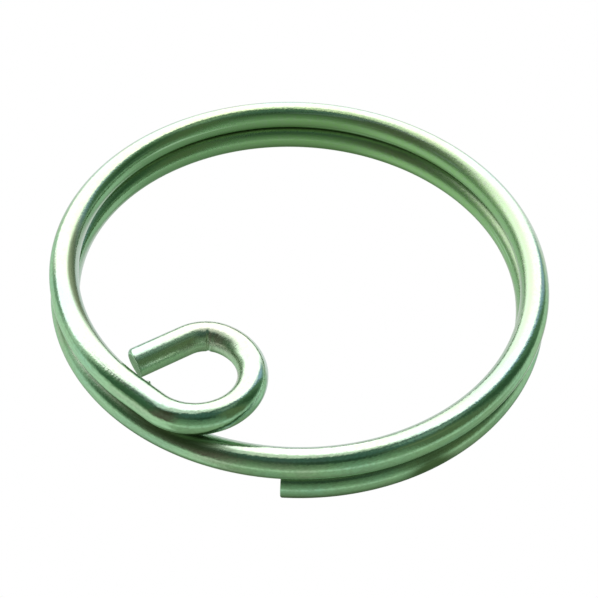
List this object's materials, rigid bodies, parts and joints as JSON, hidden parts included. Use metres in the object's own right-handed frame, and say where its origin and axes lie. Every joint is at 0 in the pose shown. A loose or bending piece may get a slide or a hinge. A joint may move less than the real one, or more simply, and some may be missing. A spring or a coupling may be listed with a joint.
{
  "type": "split key ring",
  "caption": "Round spring steel wire wound into a flat double-turn key ring, with a square-cut end and an open teardrop eye bent inward for lifting.",
  "frame": {"origin": "on the coil's axis, level with the lowest point of the wire", "axes": "+Z along the coil's axis, from the cut lower end up to the eye; -Y towards the cut end"},
  "size_m": [0.0282, 0.0282, 0.0048],
  "materials": {
    "plated_wire": "bright plated steel wire with drawing lines and a faint green cast"
  },
  "bodies": {
    "lower_turn_01": {"lower_turn_01": "plated_wire"},
    "lower_turn_02": {"lower_turn_02": "plated_wire"},
    "lower_turn_03": {"lower_turn_03": "plated_wire"},
    "lower_turn_04": {"lower_turn_04": "plated_wire"},
    "lower_turn_05": {"lower_turn_05": "plated_wire"},
    "lower_turn_06": {"lower_turn_06": "plated_wire"},
    "lower_turn_07": {"lower_turn_07": "plated_wire"},
    "lower_turn_08": {"lower_turn_08": "plated_wire"},
    "lower_turn_09": {"lower_turn_09": "plated_wire"},
    "lower_turn_10": {"lower_turn_10": "plated_wire"},
    "upper_turn_01": {"upper_turn_01": "plated_wire"},
    "upper_turn_02": {"upper_turn_02": "plated_wire"},
    "upper_turn_03": {"upper_turn_03": "plated_wire"},
    "upper_turn_04": {"upper_turn_04": "plated_wire"},
    "upper_turn_05": {"upper_turn_05": "plated_wire"},
    "upper_turn_06": {"upper_turn_06": "plated_wire"},
    "upper_turn_07": {"upper_turn_07": "plated_wire"},
    "upper_turn_08": {"upper_turn_08": "plated_wire"},
    "eye": {"eye_lead_in": "plated_wire", "eye_neck": "plated_wire", "eye_bend_1": "plated_wire", "eye_bend_2": "plated_wire", "eye_bend_3": "plated_wire", "eye_bend_4": "plated_wire", "eye_corner": "plated_wire", "eye_tip": "plated_wire"}
  },
  "joints": [
    {"name": "upper_turn_01_twist", "type": "hinge", "parent": "lower_turn_10", "child": "upper_turn_01", "pos_m": [-0.00058, -0.01329, 0.00244], "axis": [0.9989, -0.0436, 0.0196], "range_deg": [0, 1.3], "stiffness_Nm_per_rad": 6.08},
    {"name": "upper_turn_02_twist", "type": "hinge", "parent": "upper_turn_01", "child": "upper_turn_02", "pos_m": [0.00734, -0.01109, 0.0026], "axis": [0.8337, 0.5518, 0.0196], "range_deg": [0, 1.3], "stiffness_Nm_per_rad": 6.08},
    {"name": "upper_turn_03_twist", "type": "hinge", "parent": "upper_turn_02", "child": "upper_turn_03", "pos_m": [0.01246, -0.00466, 0.00277], "axis": [0.3501, 0.9365, 0.0196], "range_deg": [0, 1.3], "stiffness_Nm_per_rad": 6.08},
    {"name": "upper_turn_04_twist", "type": "hinge", "parent": "upper_turn_03", "child": "upper_turn_04", "pos_m": [0.01282, 0.00355, 0.00293], "axis": [-0.2672, 0.9634, 0.0196], "range_deg": [0, 1.3], "stiffness_Nm_per_rad": 6.08},
    {"name": "upper_turn_05_twist", "type": "hinge", "parent": "upper_turn_04", "child": "upper_turn_05", "pos_m": [0.00828, 0.01041, 0.0031], "axis": [-0.7825, 0.6224, 0.0196], "range_deg": [0, 1.3], "stiffness_Nm_per_rad": 6.08},
    {"name": "upper_turn_06_twist", "type": "hinge", "parent": "upper_turn_05", "child": "upper_turn_06", "pos_m": [0.00058, 0.01329, 0.00326], "axis": [-0.9989, 0.0436, 0.0196], "range_deg": [0, 1.3], "stiffness_Nm_per_rad": 6.08},
    {"name": "upper_turn_07_twist", "type": "hinge", "parent": "upper_turn_06", "child": "upper_turn_07", "pos_m": [-0.00728, 0.01111, 0.00342], "axis": [-0.8337, -0.5518, 0.0196], "range_deg": [0, 1.3], "stiffness_Nm_per_rad": 6.08},
    {"name": "upper_turn_08_twist", "type": "hinge", "parent": "upper_turn_07", "child": "upper_turn_08", "pos_m": [-0.01236, 0.00472, 0.00359], "axis": [-0.3501, -0.9365, 0.0196], "range_deg": [0, 1.3], "stiffness_Nm_per_rad": 6.08},
    {"name": "eye_lift", "type": "hinge", "parent": "upper_turn_08", "child": "eye", "pos_m": [-0.01272, -0.00343, 0.00375], "axis": [0.2672, -0.9634, 0.0196], "range_deg": [0, 1.3], "stiffness_Nm_per_rad": 6.08},
    {"name": "lower_turn_09_twist", "type": "hinge", "parent": "lower_turn_10", "child": "lower_turn_09", "pos_m": [-0.00828, -0.01041, 0.00228], "axis": [-0.7825, 0.6224, -0.0196], "range_deg": [0, 1.3], "stiffness_Nm_per_rad": 6.08},
    {"name": "lower_turn_08_twist", "type": "hinge", "parent": "lower_turn_09", "child": "lower_turn_08", "pos_m": [-0.01282, -0.00355, 0.00211], "axis": [-0.2672, 0.9634, -0.0196], "range_deg": [0, 1.3], "stiffness_Nm_per_rad": 6.08},
    {"name": "lower_turn_07_twist", "type": "hinge", "parent": "lower_turn_08", "child": "lower_turn_07", "pos_m": [-0.01246, 0.00466, 0.00195], "axis": [0.3501, 0.9365, -0.0196], "range_deg": [0, 1.3], "stiffness_Nm_per_rad": 6.08},
    {"name": "lower_turn_06_twist", "type": "hinge", "parent": "lower_turn_07", "child": "lower_turn_06", "pos_m": [-0.00734, 0.01109, 0.00178], "axis": [0.8337, 0.5518, -0.0196], "range_deg": [0, 1.3], "stiffness_Nm_per_rad": 6.08},
    {"name": "lower_turn_05_twist", "type": "hinge", "parent": "lower_turn_06", "child": "lower_turn_05", "pos_m": [0.00058, 0.01329, 0.00162], "axis": [0.9989, -0.0436, -0.0196], "range_deg": [0, 1.3], "stiffness_Nm_per_rad": 6.08},
    {"name": "lower_turn_04_twist", "type": "hinge", "parent": "lower_turn_05", "child": "lower_turn_04", "pos_m": [0.00828, 0.01041, 0.00146], "axis": [0.7825, -0.6224, -0.0196], "range_deg": [0, 1.3], "stiffness_Nm_per_rad": 6.08},
    {"name": "lower_turn_03_twist", "type": "hinge", "parent": "lower_turn_04", "child": "lower_turn_03", "pos_m": [0.01282, 0.00355, 0.00129], "axis": [0.2672, -0.9634, -0.0196], "range_deg": [0, 1.3], "stiffness_Nm_per_rad": 6.08},
    {"name": "lower_turn_02_twist", "type": "hinge", "parent": "lower_turn_03", "child": "lower_turn_02", "pos_m": [0.01246, -0.00466, 0.00113], "axis": [-0.3501, -0.9365, -0.0196], "range_deg": [0, 1.3], "stiffness_Nm_per_rad": 6.08},
    {"name": "cut_end_drop", "type": "hinge", "parent": "lower_turn_02", "child": "lower_turn_01", "pos_m": [0.00734, -0.01109, 0.00096], "axis": [-0.8337, -0.5518, -0.0196], "range_deg": [0, 1.3], "stiffness_Nm_per_rad": 6.08}
  ],
  "couplings": [
    {"joint": "upper_turn_01_twist", "follows": "eye_lift", "ratio": 1},
    {"joint": "upper_turn_02_twist", "follows": "eye_lift", "ratio": 1},
    {"joint": "upper_turn_03_twist", "follows": "eye_lift", "ratio": 1},
    {"joint": "upper_turn_04_twist", "follows": "eye_lift", "ratio": 1},
    {"joint": "upper_turn_05_twist", "follows": "eye_lift", "ratio": 1},
    {"joint": "upper_turn_06_twist", "follows": "eye_lift", "ratio": 1},
    {"joint": "upper_turn_07_twist", "follows": "eye_lift", "ratio": 1},
    {"joint": "upper_turn_08_twist", "follows": "eye_lift", "ratio": 1},
    {"joint": "lower_turn_09_twist", "follows": "cut_end_drop", "ratio": 1},
    {"joint": "lower_turn_08_twist", "follows": "cut_end_drop", "ratio": 1},
    {"joint": "lower_turn_07_twist", "follows": "cut_end_drop", "ratio": 1},
    {"joint": "lower_turn_06_twist", "follows": "cut_end_drop", "ratio": 1},
    {"joint": "lower_turn_05_twist", "follows": "cut_end_drop", "ratio": 1},
    {"joint": "lower_turn_04_twist", "follows": "cut_end_drop", "ratio": 1},
    {"joint": "lower_turn_03_twist", "follows": "cut_end_drop", "ratio": 1},
    {"joint": "lower_turn_02_twist", "follows": "cut_end_drop", "ratio": 1}
  ]
}
